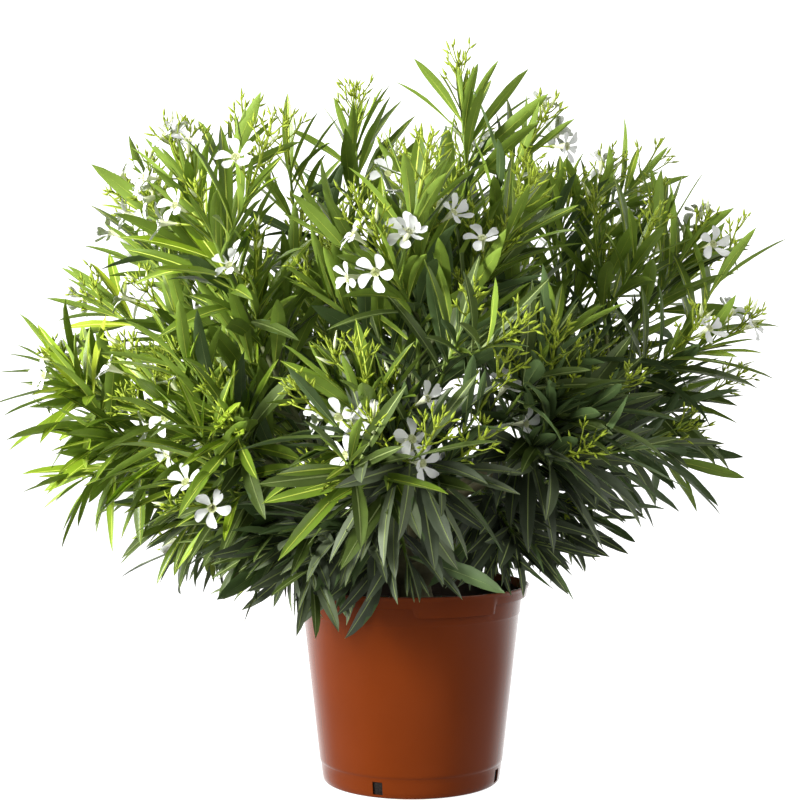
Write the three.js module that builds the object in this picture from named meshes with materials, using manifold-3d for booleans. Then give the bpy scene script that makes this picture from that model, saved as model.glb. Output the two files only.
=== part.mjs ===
// A white-flowered oleander shrub in a ten litre plastic growing pot.
// Millimetres, +Z up. The origin is the middle of the pot's flat underside, and -Y is the front.
// Eight boughs rise from a short stem. Each one ends in a swollen joint and forks into three
// masses of foliage: a low one, a middle one and a high one.
import * as THREE from "three";
import { mergeVertices } from "three/addons/utils/BufferGeometryUtils.js";
import Module from "manifold-3d";

const wasm = await Module();
wasm.setup();

// Clearance between neighbouring solids, and the size of crumb left out where pieces join
const GAP = 0.3;
const JOIN_TOLERANCE = 0.05;

// Pot: a thin tapered wall with a turned-out rim, a label panel and four drain slots
const POT_HEIGHT = 232;
const RIM_RADIUS = 140;
const RIM_LIP = 4;
const BAND_HEIGHT = 14;
const BAND_RADIUS = 137;
const WALL_TOP_RADIUS = 130.5;
const FOOT_RADIUS = 105.8;
const FOOT_BEVEL = 3;
const WALL = 1.6;
const FLOOR = 3.5;
const BASE_RING_HEIGHT = 24;
const BASE_RING_STEP = 0.9;
const STACK_RING_HEIGHT = 198;
const STACK_RING_STEP = 0.8;
const POT_SEGMENTS = 36;
const PANEL_FROM = 1;
const PANEL_TO = 43;
const PANEL_HEIGHT = 24;
const PANEL_RADIUS = 138.6;
const SLOT_COUNT = 4;
const SLOT_HEADING = -21.5;
const SLOT_WIDTH = 12;
const SLOT_TOP = 19;
const SLOT_DEPTH = 16;
const FOOT_NOTCH = 1.5;
const FOOT_NOTCH_DEPTH = 10;

// Compost: fills the pot to a little under its rim
const COMPOST_TOP = 206;
const COMPOST_FLAT_RADIUS = 45;
const COMPOST_DOME = 5;

// Short stem: a flared foot and a rounded head that the boughs spring from
const FLARE_RADIUS = 38;
const FLARE_HEIGHT = 5;
const NECK_RADIUS = 24;
const NECK_HEIGHT = 14;
const HEAD_RADIUS = 30;
const HEAD_HEIGHT = 44;
const STEM_SEGMENTS = 12;

// Boughs, and the swollen joint at the end of each
const BOUGH_START_LIFT = [34, 62];
const BOUGH_END_LIFT = 40;
const BOUGH_REACH = 170;
const BOUGH_RADIUS = [7.2, 5];
const BOUGH_SIDES = 6;
const BOUGH_RINGS = 3;
const JOINT_RADIUS = 8;

// Stems and side shoots inside a mass
const STEM_RADIUS = [3.4, 2.6];
const SIDE_RADIUS = [3, 2.4];
const TWIG_SIDES = 3;
const STEM_RINGS = 3;
const SIDE_RINGS = 2;
const STEM_SAG = { low: 0.16, mid: 0.12, high: 0.05 };
const SIDE_SHOOTS = 4;
const SIDE_FIRST = 0.2;
const SIDE_STEP = 0.16;
const SIDE_TURN = 137.5;
const SIDE_DIVERGENCE = 44;
const SIDE_LIFT = 0.12;
const SIDE_CURL = 0.08;
const SIDE_SHARE = 0.68;
const SIDE_EXTRA = 25;
const SIDE_SHORTER = [1, 0.75, 0.5];
const TURN_JITTER = 24;
const FOLIAGE_PAST_TIP = 100;
const DEALS = 24;
const DEAL_STEP = 1000;
const NEAR_MISS = 0.03;

// Leaves: whorls of three on each shoot, wide open at its foot and closing up to its tip
const LEAF_LENGTH = 130;
const LEAF_WIDTH = 35;
const LEAF_THICKNESS = 3.4;
const LEAF_WIDEST = 0.45;
const LEAF_BEND = 0.08;
const LEAF_ROOT = 1.2;
const LEAF_SPACING = 16;
const MIDRIB = [0.25, 0.4, 0.55, 0.7, 0.85, 1];
const ROOT_STEP = 3;
const WHORL = 3;
const STEM_WHORLS = [0.4, 0.68, 0.94];
const SIDE_WHORLS = [0.34, 0.62, 0.9];
const SPREAD_AT_FOOT = 68;
const SPREAD_AT_TIP = 29;
const NARROWER = [1, 0.7, 0.45];
const DROOP = { low: 0.1, mid: 0.02, high: -0.14 };
const SPACE_MARGIN = 2.2;
const LIMB_MARGIN = 3;
const POT_MARGIN = 4;

// Flowers: five-pointed funnels at the shoot tips
const PETALS = 5;
const FLOWER_RADIUS = 21;
const FLOWER_NOTCH = 9.5;
const PETAL_THICKNESS = 5;
const FLOWER_DEPTH = 54;
const FLOWER_SPREAD = 42;
const FLOWER_OUTWARD = 0.8;
const FLOWER_SEED = 500;

// Each bough's heading, in degrees from the front towards +X, and its three masses. Each mass has
// its turn from that heading, its lift above level, its reach from the stem's head, and the
// flowers on its stem and its side shoots.
const BOUGHS = {
  front: {
    heading: 2,
    low: [-20, 9, 266, [0, 0, 0, 0, 0]],
    mid: [-8, 27, 420, [2, 3, 0, 0, 3]],
    high: [0, 61, 528, [3, 1, 2, 2, 3]],
  },
  front_right: {
    heading: 46,
    low: [-8, 28, 255, [0, 0, 0, 0, 0]],
    mid: [-10, 36, 415, [0, 3, 0, 0, 0]],
    high: [-16, 78, 640, [0, 1, 1, 2, 2]],
  },
  right: {
    heading: 91,
    low: [-10, 33, 268, [0, 0, 0, 0, 0]],
    mid: [6, 34, 465, [0, 0, 0, 0, 1]],
    high: [-6, 49, 600, [2, 0, 1, 1, 0]],
  },
  back_right: {
    heading: 136,
    low: [6, 28, 275, [0, 0, 0, 0, 0]],
    mid: [-8, 36, 450, [2, 0, 1, 0, 0]],
    high: [-26, 61, 615, [2, 0, 0, 2, 0]],
  },
  back: {
    heading: 182,
    low: [-8, 8, 320, [0, 0, 1, 0, 0]],
    mid: [10, 33, 460, [3, 0, 0, 1, 0]],
    high: [-6, 58, 555, [2, 0, 2, 0, 0]],
  },
  back_left: {
    heading: 226,
    low: [8, 13, 330, [0, 0, 0, 0, 0]],
    mid: [-8, 34, 450, [0, 2, 0, 1, 0]],
    high: [4, 80, 625, [0, 0, 0, 1, 0]],
  },
  left: {
    heading: 270,
    low: [-6, 15, 405, [0, 0, 0, 1, 0]],
    mid: [6, 30, 550, [2, 0, 0, 0, 0]],
    high: [-6, 50, 605, [1, 0, 2, 0, 1]],
  },
  front_left: {
    heading: 314,
    low: [0, 10, 285, [0, 0, 0, 0, 0]],
    mid: [-12, 32, 440, [3, 2, 1, 0, 3]],
    high: [-18, 58, 630, [2, 1, 2, 1, 2]],
  },
};
const LEVELS = ["low", "mid", "high"];

const UP = new THREE.Vector3(0, 0, 1);
const HEAD = new THREE.Vector3(0, 0, COMPOST_TOP + GAP + HEAD_HEIGHT);
const radians = THREE.MathUtils.degToRad;

const plastic = new THREE.MeshStandardMaterial({ color: 0x964820, roughness: 0.38 });
const earth = new THREE.MeshStandardMaterial({ color: 0x241a12, roughness: 0.95 });
const bark = new THREE.MeshStandardMaterial({ color: 0x6f6a4c, roughness: 0.8 });
const foliage = new THREE.MeshStandardMaterial({ color: 0x48701f, roughness: 0.45 });

// Seeded numbers from 0 to 1
function seeded(seed) {
  let state = seed >>> 0;
  return () => {
    state = (state + 0x6d2b79f5) >>> 0;
    let mixed = Math.imul(state ^ (state >>> 15), state | 1);
    mixed = (mixed + Math.imul(mixed ^ (mixed >>> 7), mixed | 61)) ^ mixed;
    return ((mixed ^ (mixed >>> 14)) >>> 0) / 4294967296;
  };
}

// The way that a heading and a lift point, in degrees
function pointing(heading, lift) {
  const level = Math.cos(radians(lift));
  const turn = radians(heading);
  return new THREE.Vector3(Math.sin(turn) * level, -Math.cos(turn) * level, Math.sin(radians(lift)));
}

// Two ways square to an axis and to each other, the first of them level
function squareTo(axis) {
  const side = new THREE.Vector3().crossVectors(axis, UP);
  if (side.lengthSq() < 1e-4) side.set(1, 0, 0);
  side.normalize();
  return [side, new THREE.Vector3().crossVectors(side, axis).normalize()];
}

// An axis leaned over by a spread, in degrees, at a turn round it, in degrees
function leaned(axis, spread, turn) {
  const [side, partner] = squareTo(axis);
  return axis
    .clone()
    .multiplyScalar(Math.cos(radians(spread)))
    .addScaledVector(side, Math.sin(radians(spread)) * Math.cos(radians(turn)))
    .addScaledVector(partner, Math.sin(radians(spread)) * Math.sin(radians(turn)));
}

// A closed mesh as a solid that can be cut and joined
function solidOf(geometry) {
  const bare = geometry.clone();
  bare.deleteAttribute("normal");
  bare.deleteAttribute("uv");
  const merged = mergeVertices(bare, 1e-3);
  const index = merged.index.array;
  const faces = [];
  for (let i = 0; i < index.length; i += 3) {
    const [a, b, c] = [index[i], index[i + 1], index[i + 2]];
    if (a !== b && b !== c && c !== a) faces.push(a, b, c);
  }
  return new wasm.Manifold(
    new wasm.Mesh({
      numProp: 3,
      vertProperties: merged.attributes.position.array,
      triVerts: new Uint32Array(faces),
    }),
  );
}

function named(name, solid, material) {
  const mesh = solid.getMesh();
  const geometry = new THREE.BufferGeometry();
  geometry.setAttribute("position", new THREE.BufferAttribute(mesh.vertProperties, 3));
  geometry.setIndex(new THREE.BufferAttribute(mesh.triVerts, 1));
  geometry.computeVertexNormals();
  const part = new THREE.Mesh(geometry, material);
  part.name = name;
  return part;
}

// A profile of radius and height pairs turned about the upright axis
function turned(profile, segments) {
  const points = profile.map(([radius, height]) => new THREE.Vector2(radius, height));
  const lathe = new THREE.LatheGeometry(points, segments);
  lathe.rotateX(Math.PI / 2);
  return solidOf(lathe);
}

// A cylinder bent along a curve, which tapers from its first radius to its second
function bent(curve, [from, to], sides, rings) {
  const shape = new THREE.CylinderGeometry(1, 1, 1, sides, rings);
  const position = shape.attributes.position;
  const [first] = squareTo(curve.getTangent(0));
  for (let i = 0; i < position.count; i++) {
    const along = THREE.MathUtils.clamp(position.getY(i) + 0.5, 0, 1);
    const tangent = curve.getTangent(along);
    const normal = first.clone().addScaledVector(tangent, -first.dot(tangent)).normalize();
    const partner = new THREE.Vector3().crossVectors(normal, tangent);
    const radius = THREE.MathUtils.lerp(from, to, along);
    const point = curve
      .getPoint(along)
      .addScaledVector(normal, position.getX(i) * radius)
      .addScaledVector(partner, position.getZ(i) * radius);
    position.setXYZ(i, point.x, point.y, point.z);
  }
  return solidOf(shape);
}

// The pot's outside radius at a height below its rim
function wallRadius(height) {
  const share = height / (POT_HEIGHT - BAND_HEIGHT);
  return FOOT_RADIUS + (WALL_TOP_RADIUS - FOOT_RADIUS) * share;
}

// A box that straddles the pot's wall at a heading
function wallBox(heading, depth, middle, height) {
  const box = new THREE.BoxGeometry(SLOT_WIDTH, depth, height);
  box.translate(0, -FOOT_RADIUS, middle);
  box.rotateZ(radians(heading));
  return solidOf(box);
}

// The deeper stretch of the rim's band that a label clips on
function makePanel(bandFoot) {
  const foot = POT_HEIGHT - PANEL_HEIGHT;
  const inside = wallRadius(foot) - WALL / 2;
  const ring = [
    [inside, foot],
    [PANEL_RADIUS - 3, foot],
    [PANEL_RADIUS, bandFoot + 2],
    [inside, bandFoot + 2],
    [inside, foot],
  ];
  const far = RIM_RADIUS * 1.3;
  const sector = new THREE.Shape();
  sector.moveTo(0, 0);
  for (let heading = PANEL_FROM; heading <= PANEL_TO; heading += 6) {
    const way = pointing(heading, 0);
    sector.lineTo(way.x * far, way.y * far);
  }
  const wedge = new THREE.ExtrudeGeometry(sector, { depth: POT_HEIGHT, bevelEnabled: false });
  return turned(ring, POT_SEGMENTS).intersect(solidOf(wedge));
}

function makePot() {
  const bandFoot = POT_HEIGHT - BAND_HEIGHT;
  const profile = [
    [0, 0],
    [wallRadius(0) - FOOT_BEVEL, 0],
    [wallRadius(FOOT_BEVEL) - BASE_RING_STEP, FOOT_BEVEL],
    [wallRadius(BASE_RING_HEIGHT) - BASE_RING_STEP, BASE_RING_HEIGHT],
    [wallRadius(BASE_RING_HEIGHT), BASE_RING_HEIGHT + 1],
    [wallRadius(STACK_RING_HEIGHT), STACK_RING_HEIGHT],
    [wallRadius(STACK_RING_HEIGHT) + STACK_RING_STEP, STACK_RING_HEIGHT + 1],
    [WALL_TOP_RADIUS + STACK_RING_STEP, bandFoot],
    [BAND_RADIUS, bandFoot],
    [RIM_RADIUS - 0.5, POT_HEIGHT - 2.5],
    [RIM_RADIUS, POT_HEIGHT - 1.5],
    [RIM_RADIUS, POT_HEIGHT - 0.5],
    [RIM_RADIUS - 0.5, POT_HEIGHT],
    [RIM_RADIUS - RIM_LIP, POT_HEIGHT],
    [WALL_TOP_RADIUS - WALL, bandFoot - 2],
    [wallRadius(FLOOR) - BASE_RING_STEP - WALL, FLOOR],
    [0, FLOOR],
  ];
  let pot = turned(profile, POT_SEGMENTS).add(makePanel(bandFoot));
  const slotHeight = SLOT_TOP - FLOOR;
  for (let i = 0; i < SLOT_COUNT; i++) {
    const heading = SLOT_HEADING + (360 / SLOT_COUNT) * i;
    pot = pot.subtract(wallBox(heading, SLOT_DEPTH, FLOOR + slotHeight / 2, slotHeight));
    pot = pot.subtract(wallBox(heading, FOOT_NOTCH_DEPTH, 0, FOOT_NOTCH * 2));
  }
  return named("pot", pot, plastic);
}

function makeCompost() {
  const low = FLOOR + GAP;
  const rim = COMPOST_TOP - COMPOST_DOME;
  const inside = (height) => wallRadius(height) - BASE_RING_STEP - WALL - GAP;
  const profile = [
    [0, low],
    [inside(low), low],
    [inside(rim), rim],
    [(inside(rim) + COMPOST_FLAT_RADIUS) / 2, COMPOST_TOP - 1],
    [COMPOST_FLAT_RADIUS, COMPOST_TOP],
    [0, COMPOST_TOP],
  ];
  return named("compost", turned(profile, POT_SEGMENTS), earth);
}

function makeShortStem() {
  const foot = COMPOST_TOP + GAP;
  const head = [-20, 10, 35, 58, 78].map((lift) => {
    const turn = radians(lift);
    return [HEAD_RADIUS * Math.cos(turn), HEAD.z + HEAD_RADIUS * Math.sin(turn)];
  });
  const profile = [
    [0, foot],
    [FLARE_RADIUS, foot],
    [(FLARE_RADIUS + NECK_RADIUS) / 2, foot + FLARE_HEIGHT],
    [NECK_RADIUS, foot + NECK_HEIGHT],
    ...head,
    [0, HEAD.z + HEAD_RADIUS],
  ];
  return named("short_stem", turned(profile, STEM_SEGMENTS), bark);
}

// A bough's curve, from just clear of the head to the middle of its joint
function boughCurve(heading, startLift) {
  const start = pointing(heading, startLift);
  const from = HEAD.clone().addScaledVector(start, HEAD_RADIUS + GAP);
  const bend = from.clone().addScaledVector(start, BOUGH_REACH * 0.4);
  const end = HEAD.clone().addScaledVector(pointing(heading, BOUGH_END_LIFT), BOUGH_REACH);
  return new THREE.QuadraticBezierCurve3(from, bend, end);
}

function makeBough(name, curve) {
  const limb = bent(curve, BOUGH_RADIUS, BOUGH_SIDES, BOUGH_RINGS);
  const joint = new THREE.IcosahedronGeometry(JOINT_RADIUS, 1);
  const middle = curve.getPoint(1);
  joint.translate(middle.x, middle.y, middle.z);
  return named(name, limb.add(solidOf(joint)), bark);
}

// The curve of a mass's own stem, which leaves its bough's joint and rises at its tip
function stemCurve(joint, level, heading, lift, reach) {
  const end = HEAD.clone().addScaledVector(pointing(heading, lift), reach - FOLIAGE_PAST_TIP);
  const bend = joint.clone().lerp(end, 0.5);
  bend.z -= STEM_SAG[level] * joint.distanceTo(end);
  const away = bend.clone().sub(joint).normalize();
  const start = joint.clone().addScaledVector(away, JOINT_RADIUS + GAP);
  return new THREE.QuadraticBezierCurve3(start, bend, end);
}

// A side shoot's curve, from a share of its stem's length and at a turn round it
function sideCurve(stem, at, turn, share) {
  const base = stem.getPoint(at);
  const way = leaned(stem.getTangent(at), SIDE_DIVERGENCE, turn).addScaledVector(UP, SIDE_LIFT).normalize();
  const length = ((1 - at) * stem.getLength() * SIDE_SHARE + SIDE_EXTRA) * share;
  const bend = base.clone().addScaledVector(way, length / 2);
  const end = base.clone().addScaledVector(way, length).addScaledVector(UP, SIDE_CURL * length);
  return new THREE.QuadraticBezierCurve3(base, bend, end);
}

// How near a point comes to a line of points
function distanceTo(point, line) {
  const closest = new THREE.Vector3();
  const segment = new THREE.Line3();
  let nearest = Infinity;
  for (let i = 1; i < line.length; i++) {
    segment.set(line[i - 1], line[i]).closestPointToPoint(point, true, closest);
    nearest = Math.min(nearest, closest.distanceToSquared(point));
  }
  return Math.sqrt(nearest);
}

// True where a point is in the mass's own space: nearer to its stem than to any other mass's, and
// clear of the limbs and the pot
function inSpace(point, mass, masses, limbs) {
  const level = Math.hypot(point.x, point.y);
  if (point.z < POT_HEIGHT + POT_MARGIN && level < RIM_RADIUS + POT_MARGIN) return false;
  if (limbs.some(({ line, radius }) => distanceTo(point, line) < radius + LIMB_MARGIN)) return false;
  const own = distanceTo(point, mass.line) + SPACE_MARGIN;
  return masses.every((other) => other === mass || distanceTo(point, other.line) > own);
}

// A leaf's root, way and shoot as a place for its points
function leafPlace(root, way, axis) {
  const face = axis.clone().addScaledVector(UP, 0.8);
  const normal = face.addScaledVector(way, -face.dot(way)).normalize();
  const across = new THREE.Vector3().crossVectors(normal, way);
  return (along, aside, above) =>
    root
      .clone()
      .addScaledVector(way, along * LEAF_LENGTH)
      .addScaledVector(across, aside)
      .addScaledVector(normal, above - LEAF_BEND * LEAF_LENGTH * along * along);
}

// Points down a leaf's edges and its keel
function leafPoints(place) {
  const points = [place(1, 0, 0)];
  for (const along of [0.12, 0.28, LEAF_WIDEST, 0.65, 0.85]) {
    const share = along < LEAF_WIDEST ? along / LEAF_WIDEST : (1 - along) / (1 - LEAF_WIDEST);
    points.push(place(along, (share * LEAF_WIDTH) / 2, 0), place(along, (-share * LEAF_WIDTH) / 2, 0));
    points.push(place(along, 0, -share * LEAF_THICKNESS));
  }
  return points;
}

// A leaf of six faces, flat above and keeled below, with its root past the twig's middle
function makeLeaf(place) {
  const half = LEAF_WIDTH / 2;
  const corners = [
    place(-LEAF_ROOT / LEAF_LENGTH, 0, 0),
    place(LEAF_WIDEST, -half, 0),
    place(LEAF_WIDEST, half, 0),
    place(LEAF_WIDEST, 0, -LEAF_THICKNESS),
    place(1, 0, 0),
  ];
  const above = [0, 1, 2, 1, 4, 2];
  const below = [0, 3, 1, 0, 2, 3, 4, 1, 3, 4, 3, 2];
  const leaf = new THREE.BufferGeometry().setFromPoints(corners);
  leaf.setIndex([...above, ...below]);
  return solidOf(leaf);
}

// True where a leaf's midrib keeps off those already grown
function isClear(place, midribs) {
  const own = MIDRIB.map((along) => place(along, 0, 0));
  return midribs.every((midrib) =>
    midrib.every((point) => own.every((other) => other.distanceTo(point) > LEAF_SPACING)),
  );
}

// The leaves of one shoot that keep to the mass's space and off one another
function growLeaves(curve, whorls, mass, fits, random, midribs) {
  const leaves = [];
  whorls.forEach((at, whorl) => {
    const axis = curve.getTangent(at);
    const spread = THREE.MathUtils.lerp(SPREAD_AT_FOOT, SPREAD_AT_TIP, at);
    const first = whorl * 60 + random() * TURN_JITTER;
    for (let i = 0; i < WHORL; i++) {
      const root = curve.getPoint(at).addScaledVector(axis, i * ROOT_STEP);
      const turn = first + (360 / WHORL) * i + (random() - 0.5) * TURN_JITTER;
      const place = NARROWER.map((share) => {
        const way = leaned(axis, spread * share, turn).addScaledVector(UP, -DROOP[mass.level]);
        return leafPlace(root, way.normalize(), axis);
      }).find((candidate) => isClear(candidate, midribs) && leafPoints(candidate).every(fits));
      if (!place) continue;
      leaves.push(makeLeaf(place));
      midribs.push(MIDRIB.map((along) => place(along, 0, 0)));
    }
  });
  return leaves;
}

// The corners of a five-petalled funnel: its foot, its throat, and each petal's tip and side
function flowerCorners(root, way) {
  const [side, partner] = squareTo(way);
  const ring = (radius, turn, back) =>
    root
      .clone()
      .addScaledVector(way, FLOWER_DEPTH - back)
      .addScaledVector(side, radius * Math.cos(turn))
      .addScaledVector(partner, radius * Math.sin(turn));
  const petal = (Math.PI * 2) / PETALS;
  const corners = [root, ring(0, 0, PETAL_THICKNESS / 2)];
  for (let i = 0; i < PETALS; i++) {
    corners.push(ring(FLOWER_RADIUS, petal * i, 0), ring(FLOWER_NOTCH, petal * (i + 0.5), PETAL_THICKNESS));
  }
  return corners;
}

function makeFlower(corners) {
  const [foot, throat, first] = [0, 1, 2];
  const faces = [];
  for (let i = 0; i < PETALS; i++) {
    const tip = first + i * 2;
    const notch = tip + 1;
    const before = first + ((i + PETALS - 1) % PETALS) * 2 + 1;
    faces.push(throat, before, tip, throat, tip, notch);
    faces.push(before, notch, tip, foot, notch, before);
  }
  const flower = new THREE.BufferGeometry().setFromPoints(corners);
  flower.setIndex(faces);
  return solidOf(flower);
}

// The flowers at a shoot's tip that keep to the mass's space
function growFlowers(curve, count, fits, random, midribs) {
  const flowers = [];
  const axis = curve.getTangent(1);
  const end = curve.getPoint(1);
  const outward = new THREE.Vector3(end.x, end.y, 0).normalize();
  const facing = axis.clone().addScaledVector(outward, FLOWER_OUTWARD).normalize();
  const first = random() * 360;
  for (let i = 0; i < count; i++) {
    const root = end.clone().addScaledVector(axis, -(i + 1) * ROOT_STEP);
    const spread = count === 1 ? 10 : FLOWER_SPREAD;
    const way = leaned(facing, spread, first + (360 / count) * i).normalize();
    const corners = flowerCorners(root, way);
    if (!corners.every(fits)) continue;
    flowers.push(makeFlower(corners));
    midribs.push([root.clone().addScaledVector(way, FLOWER_DEPTH / 2), corners[1]]);
  }
  return flowers;
}

// The longest side shoot that keeps to the space
function fittingSide(stem, at, turn, fits) {
  return SIDE_SHORTER.map((share) => sideCurve(stem, at, turn, share)).find((curve) =>
    curve.getPoints(6).slice(1).every(fits),
  );
}

// A mass's own stem and the side shoots that keep to its space
function branch(mass, fits) {
  const random = seeded(mass.seed);
  const stem = { curve: mass.curve, radius: STEM_RADIUS, rings: STEM_RINGS, whorls: STEM_WHORLS };
  const shoots = [{ ...stem, flowers: mass.flowers[0] }];
  const first = random() * 360;
  for (let i = 0; i < SIDE_SHOOTS; i++) {
    const turn = first + SIDE_TURN * i + (random() - 0.5) * TURN_JITTER;
    const curve = fittingSide(mass.curve, SIDE_FIRST + SIDE_STEP * i, turn, fits);
    const side = { curve, radius: SIDE_RADIUS, rings: SIDE_RINGS, whorls: SIDE_WHORLS };
    if (curve) shoots.push({ ...side, flowers: mass.flowers[i + 1] });
  }
  return shoots;
}

// True where each edge of a body is shared by two faces once its corners are rounded, and where no
// two corners nearly meet without an edge between them
function isSound(body) {
  const { vertProperties, triVerts } = body.getMesh();
  const corner = (i) => Array.from(vertProperties.slice(i * 3, i * 3 + 3), (n) => n.toFixed(4)).join();
  const uses = new Map();
  for (let i = 0; i < triVerts.length; i++) {
    const next = i % 3 === 2 ? i - 2 : i + 1;
    const edge = [corner(triVerts[i]), corner(triVerts[next])].sort().join("/");
    uses.set(edge, (uses.get(edge) ?? 0) + 1);
  }
  const corners = [...new Set(Array.from(triVerts, corner))];
  const points = corners.map((text) => new THREE.Vector3(...text.split(",").map(Number)));
  const nearMiss = points.some((point, i) =>
    points.some((other, j) => {
      if (j <= i || point.distanceTo(other) > NEAR_MISS) return false;
      return !uses.has([corners[i], corners[j]].sort().join("/"));
    }),
  );
  return !nearMiss && [...uses.values()].every((count) => count === 2);
}

// A mass as one closed body. Leaves that meet badly are dealt again from the next seed.
function growMass(mass, masses, limbs) {
  const fits = (point) => inSpace(point, mass, masses, limbs);
  const shoots = branch(mass, fits);
  const twigs = shoots.map(({ curve, radius, rings }) => bent(curve, radius, TWIG_SIDES, rings));
  const blossom = seeded(mass.seed + FLOWER_SEED);
  const stalks = [];
  const flowers = shoots.flatMap((shoot) => growFlowers(shoot.curve, shoot.flowers, fits, blossom, stalks));
  for (let deal = 0; deal < DEALS; deal++) {
    const random = seeded(mass.seed + DEAL_STEP * (deal + 1));
    const midribs = [...stalks];
    const leaves = shoots.flatMap(({ curve, whorls }) =>
      growLeaves(curve, whorls, mass, fits, random, midribs),
    );
    const joined = wasm.Manifold.union([...twigs, ...leaves, ...flowers]);
    const bodies = joined.asOriginal().simplify(JOIN_TOLERANCE).decompose();
    bodies.sort((one, other) => other.volume() - one.volume());
    if (isSound(bodies[0])) return named(mass.name, bodies[0], foliage);
  }
  throw new Error(`${mass.name} has no sound deal of leaves`);
}

// Every mass's name, level, stem and flowers
function planMasses(boughs) {
  return boughs.flatMap(({ name, curve }, index) =>
    LEVELS.map((level, order) => {
      const [turn, lift, reach, flowers] = BOUGHS[name][level];
      const heading = BOUGHS[name].heading + turn;
      const stem = stemCurve(curve.getPoint(1), level, heading, lift, reach);
      const seed = 100 + index * LEVELS.length + order;
      return { name: `foliage_${name}_${level}`, level, curve: stem, line: stem.getPoints(12), flowers, seed };
    }),
  );
}

function makePlant() {
  const boughs = Object.keys(BOUGHS).map((name, index) => {
    const curve = boughCurve(BOUGHS[name].heading, BOUGH_START_LIFT[index % 2]);
    return { name, curve };
  });
  const limbs = boughs.map(({ curve }) => ({ line: curve.getPoints(12), radius: JOINT_RADIUS }));
  limbs.push({ line: [new THREE.Vector3(0, 0, COMPOST_TOP), HEAD], radius: FLARE_RADIUS });
  const masses = planMasses(boughs);
  const plant = new THREE.Group();
  plant.add(makePot(), makeCompost(), makeShortStem());
  boughs.forEach(({ name, curve }) => plant.add(makeBough("bough_" + name, curve)));
  masses.forEach((mass) => plant.add(growMass(mass, masses, limbs)));
  return plant;
}

export default makePlant();
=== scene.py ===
# A white-flowered oleander shrub in a ten litre plastic growing pot.
# The shrub grows in millimetres by the solids' own rule, and MM turns that into metres.
# +Z is up and -Y is the front.
import math

import bpy
import numpy as np
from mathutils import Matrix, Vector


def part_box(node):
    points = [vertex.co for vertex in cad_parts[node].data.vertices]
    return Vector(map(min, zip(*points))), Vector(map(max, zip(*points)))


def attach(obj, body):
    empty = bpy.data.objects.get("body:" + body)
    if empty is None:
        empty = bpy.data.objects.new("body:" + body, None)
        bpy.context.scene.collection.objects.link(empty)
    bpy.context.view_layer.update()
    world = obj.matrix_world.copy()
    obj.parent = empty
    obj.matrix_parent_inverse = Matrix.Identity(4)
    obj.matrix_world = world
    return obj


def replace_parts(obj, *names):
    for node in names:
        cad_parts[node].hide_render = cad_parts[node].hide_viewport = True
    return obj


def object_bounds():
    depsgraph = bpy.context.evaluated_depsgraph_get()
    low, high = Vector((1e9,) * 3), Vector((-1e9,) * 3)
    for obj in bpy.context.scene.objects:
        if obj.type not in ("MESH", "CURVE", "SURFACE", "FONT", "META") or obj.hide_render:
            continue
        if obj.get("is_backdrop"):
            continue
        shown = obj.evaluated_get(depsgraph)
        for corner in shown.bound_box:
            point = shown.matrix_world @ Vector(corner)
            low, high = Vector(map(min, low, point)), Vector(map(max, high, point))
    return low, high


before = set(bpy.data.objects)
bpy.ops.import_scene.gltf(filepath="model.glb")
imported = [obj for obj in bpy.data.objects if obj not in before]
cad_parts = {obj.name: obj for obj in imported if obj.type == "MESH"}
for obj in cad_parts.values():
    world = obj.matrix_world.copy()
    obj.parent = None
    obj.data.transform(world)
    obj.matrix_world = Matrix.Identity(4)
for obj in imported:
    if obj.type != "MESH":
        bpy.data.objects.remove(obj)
cad_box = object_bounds()

MM = 0.001
MASK = 0xFFFFFFFF
UP = np.array([0.0, 0.0, 1.0])

# Sizes read from the solids
POT_HIGH = np.array(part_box("pot")[1]) / MM
POT_HEIGHT = float(POT_HIGH[2])
RIM_RADIUS = float(POT_HIGH[0])
COMPOST_FLOOR, COMPOST_TOP = (float(corner[2]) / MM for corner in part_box("compost"))
STEM_FOOT, STEM_TOP = (float(corner[2]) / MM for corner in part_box("short_stem"))

# Pot details
BAND_HEIGHT = 14.0
BAND_RADIUS = 137.0
WALL_TOP_RADIUS = 130.5
FOOT_RADIUS = 105.8
WALL = 1.6
FLOOR = 3.5
BASE_RING_HEIGHT = 24.0
BASE_RING_STEP = 0.9
STACK_RING_HEIGHT = 198.0
PANEL_FROM = 1.0
PANEL_TO = 43.0
PANEL_HEIGHT = 24.0
PANEL_RADIUS = 138.6
# The rim's rounding, as radii and drops below the pot's top
RIM_ROUNDING = [
    (139.0, 3.4), (139.7, 2.4), (RIM_RADIUS, 1.3), (139.8, 0.5), (139.2, 0.1),
    (138.2, 0.0), (137.0, 0.1), (136.2, 0.7), (135.2, 3.0),
]
SLOT_COUNT = 4
SLOT_HEADING = -21.5
SLOT_WIDTH = 12.0
SLOT_TOP = 19.0
SLOT_DEPTH = 16.0
POT_SEGMENTS = 240

# Compost
COMPOST_RINGS = 46
COMPOST_SEGMENTS = 120
COMPOST_DOME = 5
# How high the painted shade on the wall's inside reaches
SHADE_FILM_TOP = 222
BARK_CHIPS = 420

# Short stem
FLARE_RADIUS = 38.0
NECK_RADIUS = 24.0
HEAD_RADIUS = 30.0
HEAD = np.array([0.0, 0.0, STEM_TOP - HEAD_RADIUS])
GAP = 0.3

# Boughs and joints
BOUGH_START_LIFT = [34, 62]
BOUGH_END_LIFT = 40
BOUGH_REACH = 170
BOUGH_RADIUS = [7.2, 5.0]
JOINT_RADIUS = 8.0

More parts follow.
